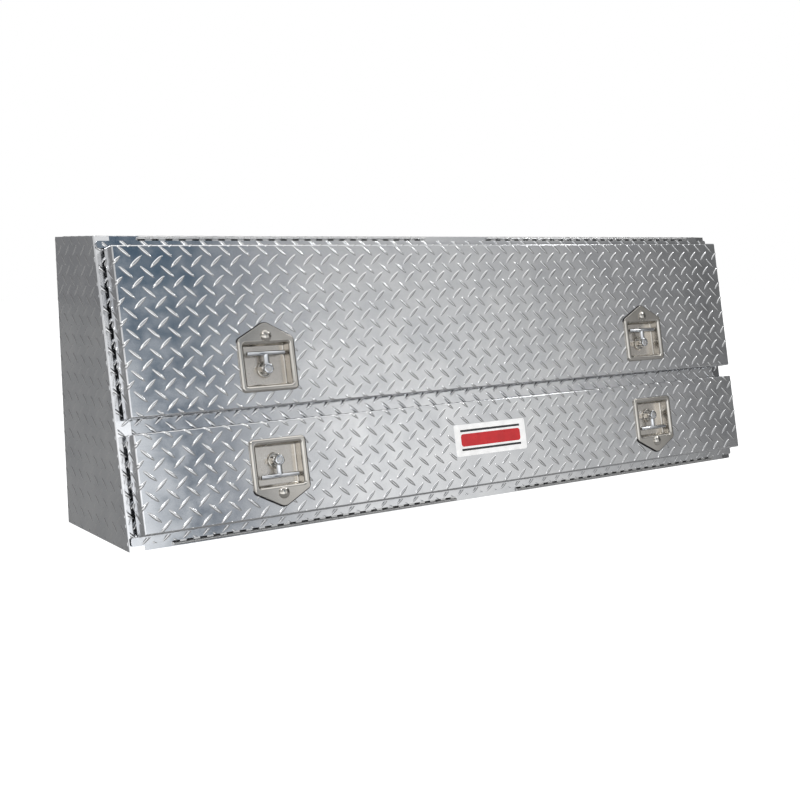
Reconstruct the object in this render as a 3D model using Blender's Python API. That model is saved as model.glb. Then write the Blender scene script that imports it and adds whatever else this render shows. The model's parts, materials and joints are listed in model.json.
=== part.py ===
"""Top-side truck tool box with a slanted front: a lift-up door above a drop-down door.

Everything is in metres. +X runs along the box, -Y is the front, +Z is up. The origin is the
middle of the box's footprint on the surface that it stands on.

Pieces on the slanted front are laid out in the face's own axes: x along the box, s up the
slope from the bottom front edge, and off outwards from the body's face.
"""

import math

import bmesh
import bpy
from mathutils import Matrix, Vector

# Body
WIDTH = 1.524
HEIGHT = 0.524
DEPTH_TOP = 0.182
DEPTH_BOTTOM = 0.2865
SHEET = 0.002
GAP = 0.0003
BEND = 0.003
JAMB = 0.028
RETURN = 0.020

# Doors, in the face's axes
DOOR_INSET = 0.013
DOOR_PROUD = 0.041
DOOR_RIM = 0.0095
DOOR_BEND = 0.0025
DOOR_CORNER = 0.003
DOOR_LIP = 0.012
UPPER_DOOR = (0.2213, 0.5114)
LOWER_DOOR = (0.0258, 0.1953)
MID_RAIL = (0.178, 0.241)
HEADER_EDGE = 0.492
SILL_EDGE = 0.043
SHELF_HEIGHT = 0.204
SEAL_WIDTH = 0.0085
SEAL_INSET = 0.0008
SEAL_HINGE_INSET = 0.0030
UPPER_STIFFENER_S = 0.425
LOWER_STIFFENER_S = 0.120

# Piano hinges: two lengths to each door
HINGE_UPPER_S = 0.531
HINGE_LOWER_S = 0.0040
HINGE_OFF = 0.0036
HINGE_SPANS = ((-0.684, -0.0744), (0.084, 0.6936))
KNUCKLES = 8
KNUCKLE_RADIUS = 0.0032
KNUCKLE_BORE = 0.0017
PIN_RADIUS = 0.0014
LEAF = 0.001
LEAF_WIDTH = 0.0185
FLANGE_CLEAR = 0.0055
FLANGE_HALF = 0.759

# Folding T-handle latches; the local axes are x, the way the plate points, and outwards
LATCH_X = {-1: -0.483, 1: 0.4715}
LATCH_UPPER_S = 0.2884
LATCH_LOWER_S = 0.1246
PAN_CENTRE = 0.008
PAN_HALF = (0.0455, 0.0372)
PAN_FLOOR = -0.017
PAN_SHEET = 0.0015
PAN_CHAMFER = 0.0038
PLATE = (0.0004, 0.0040)
PLATE_HALF = 0.0575
PLATE_FOOT = -0.0485
PLATE_TIP = 0.0735
PLATE_SLOPE = math.radians(28)
PLATE_CORNERS = (0.0090, 0.0090, 0.0160)
BOLT_CENTRE = (0.0, PAN_CENTRE + 0.0505)
BOLT_HOLE = 0.0052
BOLT_HEAD_RADIUS = 0.0103
BOLT_HEAD_HEIGHT = 0.0045
BOLT_CROWN_RADIUS = 0.0012
FOLD_HEIGHT = -0.005
T_REACH = 0.028
T_RISE = 0.002
T_HALF = 0.0382
T_RADIUS = 0.0042
STEM_FLATNESS = 0.62
HEAD_RADIUS = 0.0095
HEAD_FRONT = 0.0088
COLLAR_RADIUS = 0.0150
PLUG_RADIUS = 0.0058
PLUG_BORE = 0.0061
PLUG_SEAT = 0.0028
KEY_SLOT = (0.0034, 0.0012, 0.0040)
SHAFT_RADIUS = 0.0055
CAM_PLANE = -0.047
CAM_HALF_THICK = 0.002
CAM_LENGTH = 0.0455
CAM_HALF_WIDTH = 0.010
NUT_HEIGHT = 0.0045
NUT_RADIUS = 0.0092
EAR_RADIUS = 0.0045
EAR_THICK = 0.0024

# Gas struts on the upper door: pivots as (s, off)
STRUT_X = 0.710
STRUT_FOOT = (0.335, -0.115)
STRUT_HEAD = (0.470, 0.020)
STRUT_RADIUS = 0.009
ROD_RADIUS = 0.004

LABEL_SIZE = (0.182, 0.0625)
LABEL_CENTRE = (0.003, 0.119)

SLANT = math.atan2(DEPTH_BOTTOM - DEPTH_TOP, HEIGHT)
CROWN_OFF = DOOR_PROUD + PLATE[1] + GAP + BOLT_HEAD_HEIGHT
CROWN_S = LATCH_LOWER_S - BOLT_CENTRE[1] - BOLT_CROWN_RADIUS
FRONT_OF_BOLTS = CROWN_OFF * math.cos(SLANT) - CROWN_S * math.sin(SLANT)
BACK_Y = (DEPTH_BOTTOM + FRONT_OF_BOLTS) / 2
FACE_Y = BACK_Y - DEPTH_BOTTOM
HALF = WIDTH / 2


# ---------------------------------------------------------------- helpers

def clear_scene():
    for item in list(bpy.data.objects):
        bpy.data.objects.remove(item, do_unlink=True)


def make_material(name, colour, roughness, metallic):
    material = bpy.data.materials.new(name)
    material.use_nodes = True
    shader = material.node_tree.nodes["Principled BSDF"]
    shader.inputs["Base Color"].default_value = (*colour, 1.0)
    shader.inputs["Roughness"].default_value = roughness
    shader.inputs["Metallic"].default_value = metallic
    return material


def make_empty(name, parent=None, location=(0, 0, 0), rotation=(0, 0, 0)):
    empty = bpy.data.objects.new(name, None)
    bpy.context.scene.collection.objects.link(empty)
    empty.parent = parent
    empty.location = location
    empty.rotation_euler = rotation
    return empty


def make_object(name, bm, material, parent=None, location=(0, 0, 0), round_piece=False):
    mesh = bpy.data.meshes.new(name)
    bmesh.ops.recalc_face_normals(bm, faces=bm.faces)
    bm.to_mesh(mesh)
    bm.free()
    mesh.materials.append(material)
    if round_piece:
        mesh.shade_smooth()
        mesh.set_sharp_from_angle(angle=math.radians(35))
    item = bpy.data.objects.new(name, mesh)
    bpy.context.scene.collection.objects.link(item)
    item.parent = parent
    item.location = location
    return item


def combine(item, other_mesh, operation):
    """Adds or cuts a helper shape, built in the item's own axes, and hides the helper."""
    helper = make_object(f"{item.name}_{operation.lower()}", other_mesh, item.data.materials[0],
                         item.parent, item.location)
    helper.hide_render = True
    helper.display_type = "WIRE"
    modifier = item.modifiers.new(operation.title(), "BOOLEAN")
    modifier.operation = operation
    modifier.object = helper
    return helper


def loft(bm, rings):
    """A closed body through rings that all have the same number of points."""
    rows = [[bm.verts.new(point) for point in ring] for ring in rings]
    count = len(rows[0])
    for lower, upper in zip(rows, rows[1:]):
        for i in range(count):
            j = (i + 1) % count
            bm.faces.new((lower[i], lower[j], upper[j], upper[i]))
    bm.faces.new(rows[0])
    bm.faces.new(rows[-1])


def on_axis(axis, across, along, height):
    """A point from two cross coordinates and a height along the named axis."""
    return {"X": (height, across, along), "Y": (across, height, along),
            "Z": (across, along, height)}[axis]


def prism(bm, outline, low, high, axis):
    rings = [[on_axis(axis, a, b, h) for a, b in outline] for h in (low, high)]
    loft(bm, rings)


def box(bm, low, high):
    outline = [(low[0], low[1]), (high[0], low[1]), (high[0], high[1]), (low[0], high[1])]
    prism(bm, outline, low[2], high[2], "Z")


def circle(radius, segments, centre=(0, 0)):
    return [(centre[0] + radius * math.cos(math.tau * i / segments),
             centre[1] + radius * math.sin(math.tau * i / segments)) for i in range(segments)]


def turned(bm, profile, axis="Z", centre=(0, 0), segments=12):
    """A solid of revolution from (height, radius) pairs."""
    rings = []
    for height, radius in profile:
        rings.append([on_axis(axis, a, b, height) for a, b in circle(radius, segments, centre)])
    loft(bm, rings)


def tube(bm, outer, inner, low, high, axis, centre, segments):
    """A ring of constant section, open along its bore."""
    rows = []
    for radius, height in ((outer, low), (outer, high), (inner, high), (inner, low)):
        rows.append([bm.verts.new(on_axis(axis, a, b, height))
                     for a, b in circle(radius, segments, centre)])
    for first, second in zip(rows, rows[1:] + rows[:1]):
        for i in range(segments):
            j = (i + 1) % segments
            bm.faces.new((first[i], first[j], second[j], second[i]))


def rounded_outline(low, high, radius, steps=3):
    """A rectangle with round corners, counter-clockwise from its lower right corner."""
    corners = ((high[0] - radius, low[1] + radius, -90), (high[0] - radius, high[1] - radius, 0),
               (low[0] + radius, high[1] - radius, 90), (low[0] + radius, low[1] + radius, 180))
    points = []
    for cx, cy, start in corners:
        for k in range(steps + 1):
            angle = math.radians(start + 90 * k / steps)
            points.append((cx + radius * math.cos(angle), cy + radius * math.sin(angle)))
    return points


def keep_one_side(bm, point, normal):
    """Cuts the mesh on a plane, drops what the normal points at, and closes the cut."""
    geometry = bm.verts[:] + bm.edges[:] + bm.faces[:]
    bmesh.ops.bisect_plane(bm, geom=geometry, plane_co=point, plane_no=normal, clear_outer=True)
    bmesh.ops.holes_fill(bm, edges=[edge for edge in bm.edges if edge.is_boundary], sides=0)


def face_matrix():
    """Takes (x, s, off) to world."""
    tilt = Matrix.Rotation(math.pi / 2 - SLANT, 4, "X")
    return Matrix.Translation((0, FACE_Y, 0)) @ tilt


def face_y(height, behind=0.0):
    """World Y on the slanted plane that lies the given distance behind the body's face."""
    return FACE_Y + height * math.tan(SLANT) + behind / math.cos(SLANT)


def bent_sheet(points, bend, steps=3):
    """The outline of a bent sheet: its outer line, which turns left at each bend, and its inside."""
    outer, inner = [], []
    for i, point in enumerate(points):
        here = Vector(point)
        if i in (0, len(points) - 1):
            step = Vector(points[1]) - here if i == 0 else here - Vector(points[-2])
            side = Vector((-step.y, step.x)).normalized()
            outer.append(here)
            inner.append(here + side * SHEET)
            continue
        before = (Vector(points[i - 1]) - here).normalized()
        after = (Vector(points[i + 1]) - here).normalized()
        centre = here + (before + after) * bend
        start, end = here + before * bend - centre, here + after * bend - centre
        for k in range(steps + 1):
            turn = Matrix.Rotation(start.angle_signed(end) * -k / steps, 2)
            outer.append(centre + turn @ start)
            inner.append(centre + turn @ start * ((bend - SHEET) / bend))
    return [tuple(p) for p in outer + inner[::-1]]


# ---------------------------------------------------------------- body

def make_side_panel(side, material):
    """A flat end with its front edge bent round to make the door jamb."""
    outline = [(side * (HALF - JAMB), 0.0), (side * HALF, 0.0), (side * HALF, -0.45)]
    if side > 0:
        outline.reverse()
    bm = bmesh.new()
    prism(bm, bent_sheet(outline, BEND), -0.2, 0.8, "Y")
    bm.transform(face_matrix())
    keep_one_side(bm, (0, 0, HEIGHT), (0, 0, 1))
    keep_one_side(bm, (0, 0, 0), (0, 0, -1))
    keep_one_side(bm, (0, BACK_Y - SHEET - GAP, 0), (0, 1, 0))
    name = "left_side_panel" if side < 0 else "right_side_panel"
    make_object(name, bm, material)


def make_shell(tread, plain):
    inner = HALF - SHEET - GAP
    behind_face = SHEET + GAP
    rear = BACK_Y - SHEET - GAP

    bm = bmesh.new()
    box(bm, (-HALF, BACK_Y - SHEET, 0), (HALF, BACK_Y, HEIGHT))
    make_object("back_panel", bm, plain)

    levels = {"bottom_panel": (0.0, SHEET, plain, behind_face),
              "top_panel": (HEIGHT - SHEET, HEIGHT, tread, behind_face),
              "mid_shelf": (SHELF_HEIGHT, SHELF_HEIGHT + SHEET, plain, behind_face + GAP)}
    for name, (low, high, material, behind) in levels.items():
        outline = [(face_y(low, behind), low), (rear, low), (rear, high), (face_y(high, behind), high)]
        bm = bmesh.new()
        prism(bm, outline, -inner, inner, "X")
        make_object(name, bm, material)


def make_rails(material):
    """The header, the rail between the doors and the sill, bent back as gutters at the openings."""
    half = HALF - JAMB - GAP
    header = bent_sheet([(0.60, 0.0), (HEADER_EDGE, 0.0), (HEADER_EDGE, -RETURN)], BEND)
    rail = bent_sheet([(MID_RAIL[1], -RETURN), (MID_RAIL[1], 0.0), (MID_RAIL[0], 0.0),
                       (MID_RAIL[0], -RETURN)], BEND)
    sill = bent_sheet([(SILL_EDGE, -RETURN), (SILL_EDGE, 0.0), (-0.08, 0.0)], BEND)
    ends = {"header_rail": (header, (0, 0, HEIGHT), (0, 0, 1)), "mid_rail": (rail, None, None),
            "sill_rail": (sill, (0, 0, 0), (0, 0, -1))}
    for name, (outline, point, normal) in ends.items():
        bm = bmesh.new()
        prism(bm, outline, -half, half, "X")
        bm.transform(face_matrix())
        if point:
            keep_one_side(bm, point, normal)
        make_object(name, bm, material)


def make_seal(name, low, high, face, material):
    """A rubber ring on the body's face, under the rim of a door."""
    width = SEAL_WIDTH
    half = HALF - DOOR_INSET - SEAL_INSET
    rings = []
    shoulder = DOOR_RIM - 0.002
    for inset, off in ((0, GAP), (0, shoulder), (width / 2, DOOR_RIM - GAP), (width, shoulder),
                       (width, GAP)):
        rings.append([(x, s, off) for x, s in rounded_outline(
            (-half + inset, low + inset), (half - inset, high - inset), 0.010 - inset)])
    bm = bmesh.new()
    rows = [[bm.verts.new(point) for point in ring] for ring in rings]
    for first, second in zip(rows, rows[1:] + rows[:1]):
        for i in range(len(first)):
            j = (i + 1) % len(first)
            bm.faces.new((first[i], first[j], second[j], second[i]))
    make_object(name, bm, material, face)


# ---------------------------------------------------------------- hinges

def make_hinge(door, axis_s, towards_door, face, door_axis, steel):
    """Two lengths of piano hinge, each a body leaf, a door leaf and a pin.

    towards_door is the way from the barrel to the door, up or down the slope.
    """
    barrel_edge = KNUCKLE_RADIUS + GAP
    layers = {"body": (0, GAP, 0.0002, face, (0, axis_s, 0)),
              "door": (1, GAP + LEAF + GAP, 0.0016, door_axis, (0, 0, -HINGE_OFF))}
    for word, (low, high) in zip(("left", "right"), HINGE_SPANS):
        pitch = (high - low) / KNUCKLES
        for owner, (first, off, tab_end, parent, place) in layers.items():
            near, far = sorted((towards_door * barrel_edge,
                                towards_door * (barrel_edge + LEAF_WIDTH)))
            plate = bmesh.new()
            box(plate, (low, near, off), (high, far, off + LEAF))
            name = f"{door}_hinge_{owner}_leaf_{word}"
            leaf = make_object(name, plate, steel, parent, place)
            tabs = bmesh.new()
            barrels = bmesh.new()
            near, far = sorted((towards_door * tab_end, towards_door * (barrel_edge + 0.002)))
            for k in range(first, KNUCKLES, 2):
                start = low + pitch * k + GAP
                stop = low + pitch * (k + 1) - GAP
                box(tabs, (start, near, off + 0.0001), (stop, far, off + LEAF - 0.0001))
                tube(barrels, KNUCKLE_RADIUS, KNUCKLE_BORE, start, stop, "X", (0, HINGE_OFF), 8)
            combine(leaf, tabs, "UNION").name = f"{name}_tabs"
            combine(leaf, barrels, "UNION")
        bm = bmesh.new()
        turned(bm, ((low, PIN_RADIUS), (high, PIN_RADIUS)), "X", (axis_s, HINGE_OFF), 8)
        make_object(f"{door}_hinge_pin_{word}", bm, steel, face, round_piece=True)


# ---------------------------------------------------------------- doors

def make_door_skin(door, low, high, axis_s, flange_side, latch_s, tip, door_axis, material):
    """A pan with a return lip, and a flat flange from its hinge side to the barrel."""
    half = HALF - DOOR_INSET
    inside = DOOR_PROUD - SHEET

    def ring(inset, off):
        corner = max(DOOR_CORNER - inset, 0.0006)
        return [(x, s - axis_s, off - HINGE_OFF) for x, s in rounded_outline(
            (-half + inset, low + inset), (half - inset, high - inset), corner)]

    def bend(radius, centre, steps=3):
        for k in range(steps + 1):
            angle = math.radians(90 * k / steps)
            yield DOOR_BEND - radius * math.cos(angle), centre + radius * math.sin(angle)

    bm = bmesh.new()
    outside_line = [(DOOR_LIP, DOOR_RIM), (0.0, DOOR_RIM)]
    outside_line += bend(DOOR_BEND, DOOR_PROUD - DOOR_BEND)
    inside_line = [(DOOR_LIP, DOOR_RIM + SHEET), (SHEET, DOOR_RIM + SHEET)]
    inside_line += bend(DOOR_BEND - SHEET, inside - (DOOR_BEND - SHEET))
    rings = [ring(*place) for place in outside_line[::-1] + inside_line]
    loft(bm, rings)
    skin = make_object(f"{door}_door_skin", bm, material, door_axis)

    wall = high if flange_side > 0 else low
    barrel_side = axis_s - flange_side * FLANGE_CLEAR
    flange_off = 2 * LEAF + 3 * GAP
    web = bmesh.new()
    edges = sorted((wall - flange_side * 0.0001, wall - flange_side * (SHEET - 0.0001)))
    box(web, (-half + 0.003, edges[0] - axis_s, flange_off + 0.0002 - HINGE_OFF),
        (half - 0.003, edges[1] - axis_s, DOOR_RIM + 0.0012 - HINGE_OFF))
    combine(skin, web, "UNION").name = f"{door}_door_web"
    flange = bmesh.new()
    edges = sorted((wall - flange_side * 0.0012, barrel_side))
    box(flange, (-FLANGE_HALF, edges[0] - axis_s, flange_off - HINGE_OFF),
        (FLANGE_HALF, edges[1] - axis_s, flange_off + SHEET - HINGE_OFF))
    combine(skin, flange, "UNION")

    holes = bmesh.new()
    clearance = PAN_SHEET + 0.001
    for side in (-1, 1):
        centre = (LATCH_X[side], latch_s - axis_s)
        rows = [[(centre[0] + x, centre[1] + tip * (PAN_CENTRE + v), off - HINGE_OFF)
                 for x, v in rounded_outline((-PAN_HALF[0] - clearance, -PAN_HALF[1] - clearance),
                                             (PAN_HALF[0] + clearance, PAN_HALF[1] + clearance),
                                             0.006)]
                for off in (inside - 0.004, DOOR_PROUD + 0.004)]
        loft(holes, rows)
        turned(holes, ((inside - 0.004 - HINGE_OFF, BOLT_HOLE),
                       (DOOR_PROUD + 0.004 - HINGE_OFF, BOLT_HOLE)),
               "Z", (centre[0], centre[1] + tip * BOLT_CENTRE[1]), 12)
    combine(skin, holes, "DIFFERENCE")


def make_stiffener(door, centre_s, half_length, axis_s, door_axis, material):
    """A hat-shaped channel bonded to the inside of a door."""
    foot, crown, depth, thick = 0.026, 0.013, 0.015, 0.0015
    top = DOOR_PROUD - SHEET - GAP - HINGE_OFF
    outline = [(foot, top), (foot, top - thick), (crown + thick, top - thick),
               (crown, top - depth), (-crown, top - depth), (-crown - thick, top - thick),
               (-foot, top - thick), (-foot, top), (-crown, top), (-crown + thick, top - depth + thick),
               (crown - thick, top - depth + thick), (crown, top)]
    outline = [(s + centre_s - axis_s, off) for s, off in outline]
    bm = bmesh.new()
    prism(bm, outline, -half_length, half_length, "X")
    make_object(f"{door}_door_stiffener", bm, material, door_axis)


def make_label(axis_s, door_axis, material):
    bm = bmesh.new()
    half = (LABEL_SIZE[0] / 2, LABEL_SIZE[1] / 2)
    outline = rounded_outline((LABEL_CENTRE[0] - half[0], LABEL_CENTRE[1] - axis_s - half[1]),
                              (LABEL_CENTRE[0] + half[0], LABEL_CENTRE[1] - axis_s + half[1]), 0.004)
    base = DOOR_PROUD + GAP - HINGE_OFF
    prism(bm, outline, base, base + 0.0004, "Z")
    make_object("label", bm, material, door_axis)


# ---------------------------------------------------------------- latches

def plate_outline():
    """The latch plate: straight sides and foot, sloping shoulders and a round tip."""
    def arc(cx, cy, radius, start, end, steps):
        for k in range(steps + 1):
            angle = start + (end - start) * k / steps
            yield cx + radius * math.cos(angle), cy + radius * math.sin(angle) + PAN_CENTRE

    foot, shoulder, tip = PLATE_CORNERS
    turn = math.pi / 2 - PLATE_SLOPE
    across, up = math.sin(PLATE_SLOPE), math.cos(PLATE_SLOPE)
    shoulder_x = PLATE_HALF - shoulder
    shoulder_v = ((PLATE_TIP - tip) * up + tip - shoulder - shoulder_x * across) / up
    right = [*arc(PLATE_HALF - foot, PLATE_FOOT + foot, foot, -math.pi / 2, 0, 3),
             *arc(shoulder_x, shoulder_v, shoulder, 0, turn, 2),
             *arc(0, PLATE_TIP - tip, tip, turn, math.pi / 2, 2)]
    return right + [(-x, v) for x, v in right[-2::-1]]


def make_latch_pan(name, axis, material):
    """A plate with a square tub let into the door, its mouth bevelled all round."""
    bm = bmesh.new()
    prism(bm, plate_outline(), PLATE[0], PLATE[1], "Z")
    pan = make_object(f"{name}_pan", bm, material, axis)

    def tub(extra, top, floor, corner):
        rows = []
        for off, draft in ((top, 0.0), (floor, 0.0015)):
            rows.append([(x, v + PAN_CENTRE, off) for x, v in rounded_outline(
                (-PAN_HALF[0] - extra + draft, -PAN_HALF[1] - extra + draft),
                (PAN_HALF[0] + extra - draft, PAN_HALF[1] + extra - draft), corner)])
        body = bmesh.new()
        loft(body, rows)
        return body

    combine(pan, tub(PAN_SHEET, PLATE[1] - 0.0004, PAN_FLOOR - PAN_SHEET, 0.005), "UNION")
    recess = tub(0.0, PLATE[1] + 0.003, PAN_FLOOR, 0.0035)
    combine(pan, recess, "DIFFERENCE").name = f"{name}_recess"
    mouth = bmesh.new()
    loft(mouth, [[(x, v + PAN_CENTRE, PLATE[1] + level) for x, v in rounded_outline(
        (-PAN_HALF[0] - level - PAN_CHAMFER, -PAN_HALF[1] - level - PAN_CHAMFER),
        (PAN_HALF[0] + level + PAN_CHAMFER, PAN_HALF[1] + level + PAN_CHAMFER), 0.0060)]
        for level in (0.002, -PAN_CHAMFER)])
    combine(pan, mouth, "DIFFERENCE").name = f"{name}_mouth"
    bores = bmesh.new()
    turned(bores, ((-0.030, 0.0061), (-0.010, 0.0061)))
    turned(bores, ((-0.004, BOLT_HOLE), (0.008, BOLT_HOLE)), centre=BOLT_CENTRE, segments=12)
    combine(pan, bores, "DIFFERENCE")


def make_spindle(name, axis, material):
    """A collar with two ears and the fold pin between them, a shaft, and its retaining nut."""
    floor = PAN_FLOOR + GAP
    bm = bmesh.new()
    turned(bm, ((floor, COLLAR_RADIUS), (floor + 0.0010, COLLAR_RADIUS),
                (floor + 0.0014, COLLAR_RADIUS - 0.0004)), segments=16)
    spindle = make_object(f"{name}_spindle", bm, material, axis, round_piece=True)
    nut_top = CAM_PLANE - CAM_HALF_THICK - GAP
    shaft = bmesh.new()
    turned(shaft, ((nut_top - 0.0065, SHAFT_RADIUS - 0.001), (nut_top - 0.0055, SHAFT_RADIUS),
                   (floor + 0.0007, SHAFT_RADIUS)))
    combine(spindle, shaft, "UNION").name = f"{name}_shaft"
    nut = bmesh.new()
    turned(nut, ((nut_top - NUT_HEIGHT, NUT_RADIUS), (nut_top, NUT_RADIUS)), segments=6)
    combine(spindle, nut, "UNION").name = f"{name}_nut"
    ears = bmesh.new()
    for side in (-1, 1):
        near, far = sorted((side * (HEAD_RADIUS + GAP), side * (HEAD_RADIUS + GAP + EAR_THICK)))
        cheek = [(-EAR_RADIUS, floor + 0.0006), (EAR_RADIUS, floor + 0.0006)]
        for k in range(5):
            angle = math.pi * k / 4
            cheek.append((EAR_RADIUS * math.cos(angle), FOLD_HEIGHT + EAR_RADIUS * math.sin(angle)))
        prism(ears, cheek, near, far, "X")
    combine(spindle, ears, "UNION").name = f"{name}_ears"
    pin = bmesh.new()
    turned(pin, ((-HEAD_RADIUS - 0.0035, 0.002), (HEAD_RADIUS + 0.0035, 0.002)), "X",
           (0, FOLD_HEIGHT), 12)
    combine(spindle, pin, "UNION")


def make_cam(name, axis, material):
    """A flat tongue on the shaft, pointing away from the plate's tip."""
    half = CAM_HALF_WIDTH
    outline = [(-half * math.cos(math.pi * k / 8), half * math.sin(math.pi * k / 8))
               for k in range(9)]
    outline += [(half - 0.002, -CAM_LENGTH), (-half + 0.002, -CAM_LENGTH)]
    bm = bmesh.new()
    prism(bm, outline, CAM_PLANE - CAM_HALF_THICK, CAM_PLANE + CAM_HALF_THICK, "Z")
    cam = make_object(f"{name}_cam", bm, material, axis)
    bore = bmesh.new()
    turned(bore, ((-0.060, 0.0057), (-0.030, 0.0057)))
    combine(cam, bore, "DIFFERENCE")


def make_handle(name, fold, chrome, steel):
    """A T-bar on a stem, with the round lock head at its foot, and the plug in the head."""
    bm = bmesh.new()
    cap = 0.0018
    turned(bm, ((-T_HALF, T_RADIUS - cap), (-T_HALF + cap, T_RADIUS), (T_HALF - cap, T_RADIUS),
                (T_HALF, T_RADIUS - cap)), "X", (T_REACH, T_RISE), 12)
    handle = make_object(f"{name}_handle", bm, chrome, fold, round_piece=True)
    stem_start = 0.004
    stem = bmesh.new()
    turned(stem, ((stem_start, 0.0062), (0.013, 0.0056), (T_REACH, 0.0062)), "Y", segments=12)
    for vertex in stem.verts:
        vertex.co.z = vertex.co.z * STEM_FLATNESS + T_RISE
    combine(handle, stem, "UNION").name = f"{name}_stem"
    head = bmesh.new()
    dome = [(-HEAD_RADIUS * math.cos(math.radians(a)), HEAD_RADIUS * math.sin(math.radians(a)))
            for a in (15, 50, 90)]
    turned(head, (*dome, (HEAD_FRONT - 0.0012, HEAD_RADIUS), (HEAD_FRONT, HEAD_RADIUS - 0.0012)),
           segments=16)
    combine(handle, head, "UNION").name = f"{name}_head"
    holes = bmesh.new()
    turned(holes, ((PLUG_SEAT, PLUG_BORE), (HEAD_FRONT + 0.002, PLUG_BORE)), segments=16)
    cross = bmesh.new()
    turned(cross, ((-0.02, 0.0021), (0.02, 0.0021)), "X", segments=12)
    combine(handle, holes, "DIFFERENCE").name = f"{name}_plug_bore"
    combine(handle, cross, "DIFFERENCE")

    bm = bmesh.new()
    turned(bm, ((PLUG_SEAT + GAP, PLUG_RADIUS), (HEAD_FRONT - 0.0007, PLUG_RADIUS),
                (HEAD_FRONT - 0.0002, PLUG_RADIUS - 0.0005)), segments=16)
    plug = make_object(f"{name}_lock_plug", bm, steel, fold, round_piece=True)
    slot = bmesh.new()
    box(slot, (-KEY_SLOT[0], KEY_SLOT[1], HEAD_FRONT - 0.004),
        (KEY_SLOT[0], KEY_SLOT[2], HEAD_FRONT + 0.002))
    combine(plug, slot, "DIFFERENCE")


def make_bolt(name, axis, material):
    """A carriage bolt through the plate's tip and the door, with its nut inside the door."""
    rise = PLATE[1] + GAP
    bm = bmesh.new()
    turned(bm, ((-0.018, 0.0042), (-0.0175, 0.0047), (rise, 0.0047), (rise, BOLT_HEAD_RADIUS),
                (rise + 0.0012, BOLT_HEAD_RADIUS - 0.0002), (rise + 0.0030, 0.0080),
                (rise + 0.0042, 0.0045), (rise + BOLT_HEAD_HEIGHT, BOLT_CROWN_RADIUS)),
           centre=BOLT_CENTRE)
    bolt = make_object(f"{name}_bolt", bm, material, axis, round_piece=True)
    nut = bmesh.new()
    turned(nut, ((-0.0100, 0.0082), (-SHEET - GAP, 0.0082)), centre=BOLT_CENTRE, segments=6)
    combine(bolt, nut, "UNION")


# ---------------------------------------------------------------- struts

def make_strut(side, word, face, door_axis, axis_s, materials):
    """A gas strut: bracket on the side panel, barrel, rod, and bracket on the door."""
    foot = Vector(STRUT_FOOT)
    head = Vector(STRUT_HEAD)
    reach = head - foot
    length = reach.length
    tilt = math.atan2(reach.y, reach.x)
    wall = HALF - SHEET - GAP

    def span(a, b):
        return sorted((side * a, side * b))

    bm = bmesh.new()
    plate = rounded_outline((foot.x - 0.018, foot.y - 0.014), (foot.x + 0.018, foot.y + 0.014), 0.006)
    prism(bm, plate, *span(wall - SHEET, wall), "X")
    bracket = make_object(f"strut_{word}_body_bracket", bm, materials["steel"], face)
    stud = bmesh.new()
    low, high = span(STRUT_X - 0.0065, wall - 0.0005)
    turned(stud, ((low, 0.0038), (high, 0.0038)), "X", STRUT_FOOT)
    combine(bracket, stud, "UNION")

    axis = make_empty(f"strut_{word}_axis", face, (side * STRUT_X, foot.x, foot.y), (tilt, 0, 0))
    bm = bmesh.new()
    turned(bm, ((0.005, 0.0062), (0.010, STRUT_RADIUS), (length - 0.045, STRUT_RADIUS),
                (length - 0.042, STRUT_RADIUS - 0.002)), "Y")
    barrel = make_object(f"strut_{word}_barrel", bm, materials["black"], axis, round_piece=True)
    eye = bmesh.new()
    turned(eye, ((-0.0055, 0.0080), (0.0055, 0.0080)), "X", segments=18)
    combine(barrel, eye, "UNION").name = f"strut_{word}_eye"
    eye_bore = bmesh.new()
    turned(eye_bore, ((-0.02, 0.0042), (0.02, 0.0042)), "X", segments=18)
    combine(barrel, eye_bore, "DIFFERENCE").name = f"strut_{word}_eye_bore"
    rod_bore = bmesh.new()
    turned(rod_bore, ((0.020, 0.0046), (length, 0.0046)), "Y")
    combine(barrel, rod_bore, "DIFFERENCE")

    bm = bmesh.new()
    turned(bm, ((0.026, ROD_RADIUS), (length - 0.004, ROD_RADIUS)), "Y", segments=12)
    rod = make_object(f"strut_{word}_rod", bm, materials["chrome"], axis, round_piece=True)
    neck = bmesh.new()
    turned(neck, ((length - 0.016, 0.0050), (length, 0.0062)), "Y", segments=12)
    combine(rod, neck, "UNION").name = f"strut_{word}_neck"
    socket = bmesh.new()
    turned(socket, ((-0.0060, 0.0068), (0.0060, 0.0068)), "X", (length, 0))
    combine(rod, socket, "UNION").name = f"strut_{word}_socket"
    stud = bmesh.new()
    low, high = span(-0.0055, 0.0095)
    turned(stud, ((low, 0.0035), (high, 0.0035)), "X", (length, 0), 12)
    combine(rod, stud, "UNION")

    seat = DOOR_PROUD - SHEET - GAP - HINGE_OFF
    bm = bmesh.new()
    low, high = span(STRUT_X + 0.0100, HALF - DOOR_INSET - SHEET - 0.002)
    box(bm, (low, head.x - 0.016 - axis_s, seat - SHEET), (high, head.x + 0.016 - axis_s, seat))
    bracket = make_object(f"strut_{word}_door_bracket", bm, materials["steel"], door_axis)
    web = bmesh.new()
    outline = [(-0.014, seat - 0.0006), (0.014, seat - 0.0006),
               (0.010, head.y - 0.008 - HINGE_OFF), (-0.010, head.y - 0.008 - HINGE_OFF)]
    prism(web, [(s + head.x - axis_s, off) for s, off in outline],
          *span(STRUT_X + 0.0100, STRUT_X + 0.0120), "X")
    combine(bracket, web, "UNION")


# ---------------------------------------------------------------- assembly

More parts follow.
